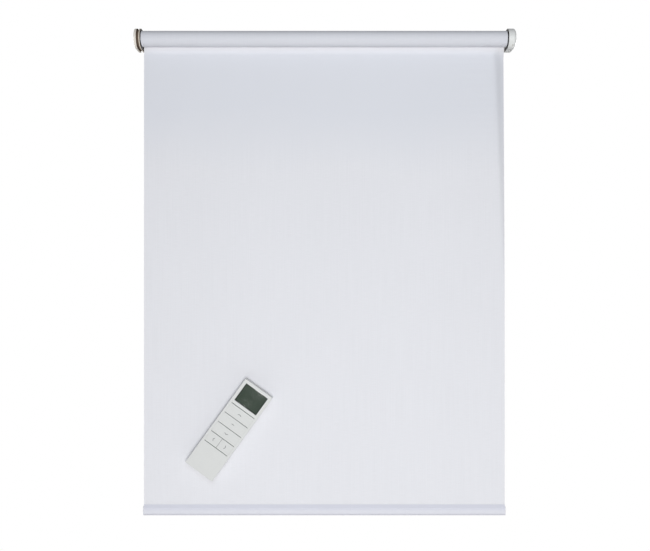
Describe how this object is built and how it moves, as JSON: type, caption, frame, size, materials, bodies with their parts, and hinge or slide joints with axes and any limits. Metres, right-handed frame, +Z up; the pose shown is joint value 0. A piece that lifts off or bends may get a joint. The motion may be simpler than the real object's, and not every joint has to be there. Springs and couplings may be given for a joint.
{
  "type": "motorized roller blind",
  "caption": "Roller blind with a battery motor in its tube, wall brackets with covers, coated cloth with a weighted hem, and a handset with a screen and keys.",
  "frame": {"origin": "centre of the four wall screw holes, on the wall plane, level with the roller's axis", "axes": "+X along the roller towards the motor end, +Y into the wall, +Z up; the room is on -Y"},
  "size_m": [0.6665, 0.0425, 0.8585],
  "materials": {
    "bracket_paint": "satin cream-white paint",
    "cover_plastic": "fine satin moulded plastic",
    "bearing_plastic": "natural acetal",
    "dark_plastic": "dark moulded plastic",
    "tube_metal": "extruded, mill finish",
    "casing_metal": "drawn steel",
    "pin_steel": "turned steel",
    "cell_sleeve": "shrink sleeve",
    "board_green": "solder mask",
    "socket_metal": "drawn shell",
    "blind_cloth": "coated blackout cloth, off white",
    "hem_metal": "extruded bar",
    "end_cap_plastic": "moulded plastic",
    "handset_plastic": "fine textured moulded plastic",
    "key_plastic": "fine textured moulded plastic",
    "mat_rubber": "silicone",
    "pane_clear": "clear acrylic pane",
    "screen_face": "dark grey-green display, off",
    "coin_steel": "nickel-plated can",
    "contact_metal": "plated spring strip"
  },
  "bodies": {
    "mounting": {"left_bracket": "bracket_paint", "right_bracket": "bracket_paint", "left_cover": "cover_plastic", "right_cover": "cover_plastic", "left_bearing": "bearing_plastic", "motor_mount": "bearing_plastic", "cap_board": "board_green", "charging_socket": "socket_metal", "motor_casing": "casing_metal", "motor_head": "dark_plastic", "battery_cells": "cell_sleeve", "motor_board": "board_green", "drive_motor": "casing_metal", "gearbox": "casing_metal", "blind_fabric": "blind_cloth"},
    "roller": {"roller_tube": "tube_metal", "retaining_strip": "bearing_plastic", "wound_fabric": "blind_cloth", "crown_ring": "dark_plastic", "drive_wheel": "dark_plastic", "output_shaft": "pin_steel", "wheel_clip": "pin_steel", "idle_plug": "dark_plastic", "idle_spring": "pin_steel"},
    "idle_pin": {"idle_pin": "pin_steel"},
    "setting_button": {"setting_button": "bearing_plastic"},
    "hem": {"hem_pocket": "blind_cloth", "hem_bar": "hem_metal", "left_end_cap": "end_cap_plastic", "right_end_cap": "end_cap_plastic"},
    "handset": {"handset_front": "handset_plastic", "handset_back": "handset_plastic", "screen_window": "pane_clear", "screen_module": "screen_face", "handset_board": "board_green", "key_mat": "mat_rubber", "coin_cell": "coin_steel", "cell_contacts": "contact_metal", "handset_screws": "pin_steel"},
    "battery_door": {"battery_door": "handset_plastic"},
    "up_key": {"up_key": "key_plastic"},
    "stop_key": {"stop_key": "key_plastic"},
    "down_key": {"down_key": "key_plastic"},
    "previous_key": {"previous_key": "key_plastic"},
    "next_key": {"next_key": "key_plastic"}
  },
  "joints": [
    {"name": "hem_lift", "type": "slide", "parent": "mounting", "child": "hem", "axis": [0, 0, 1], "range_m": [0, 0.79], "deforming": ["blind_fabric"]},
    {"name": "roller_turn", "type": "hinge", "parent": "mounting", "child": "roller", "pos_m": [0, -0.025, 0], "axis": [1, 0, 0], "range_deg": [0, 2969]},
    {"name": "idle_pin_push", "type": "slide", "parent": "roller", "child": "idle_pin", "axis": [1, 0, 0], "range_m": [0, 0.004], "stiffness_N_per_m": 700, "springref_m": -0.003, "deforming": ["idle_spring"]},
    {"name": "setting_button_press", "type": "slide", "parent": "mounting", "child": "setting_button", "axis": [0, 0.5878, 0.809], "range_m": [0, 0.0005], "stiffness_N_per_m": 1200, "springref_m": -0.0003},
    {"name": "handset_lift", "type": "slide", "parent": "mounting", "child": "handset", "axis": [0, -1, 0], "range_m": [0, 0.15]},
    {"name": "battery_door_slide", "type": "slide", "parent": "handset", "child": "battery_door", "axis": [-0.5878, 0, -0.809], "range_m": [0, 0.03]},
    {"name": "up_key_press", "type": "slide", "parent": "handset", "child": "up_key", "axis": [0, 1, 0], "range_m": [0, 0.0006], "stiffness_N_per_m": 600, "springref_m": -0.0004},
    {"name": "stop_key_press", "type": "slide", "parent": "handset", "child": "stop_key", "axis": [0, 1, 0], "range_m": [0, 0.0006], "stiffness_N_per_m": 600, "springref_m": -0.0004},
    {"name": "down_key_press", "type": "slide", "parent": "handset", "child": "down_key", "axis": [0, 1, 0], "range_m": [0, 0.0006], "stiffness_N_per_m": 600, "springref_m": -0.0004},
    {"name": "previous_key_press", "type": "slide", "parent": "handset", "child": "previous_key", "axis": [0, 1, 0], "range_m": [0, 0.0006], "stiffness_N_per_m": 600, "springref_m": -0.0004},
    {"name": "next_key_press", "type": "slide", "parent": "handset", "child": "next_key", "axis": [0, 1, 0], "range_m": [0, 0.0006], "stiffness_N_per_m": 600, "springref_m": -0.0004}
  ],
  "couplings": [
    {"joint": "roller_turn", "follows": "hem_lift", "rad_per_m": 65.58}
  ]
}
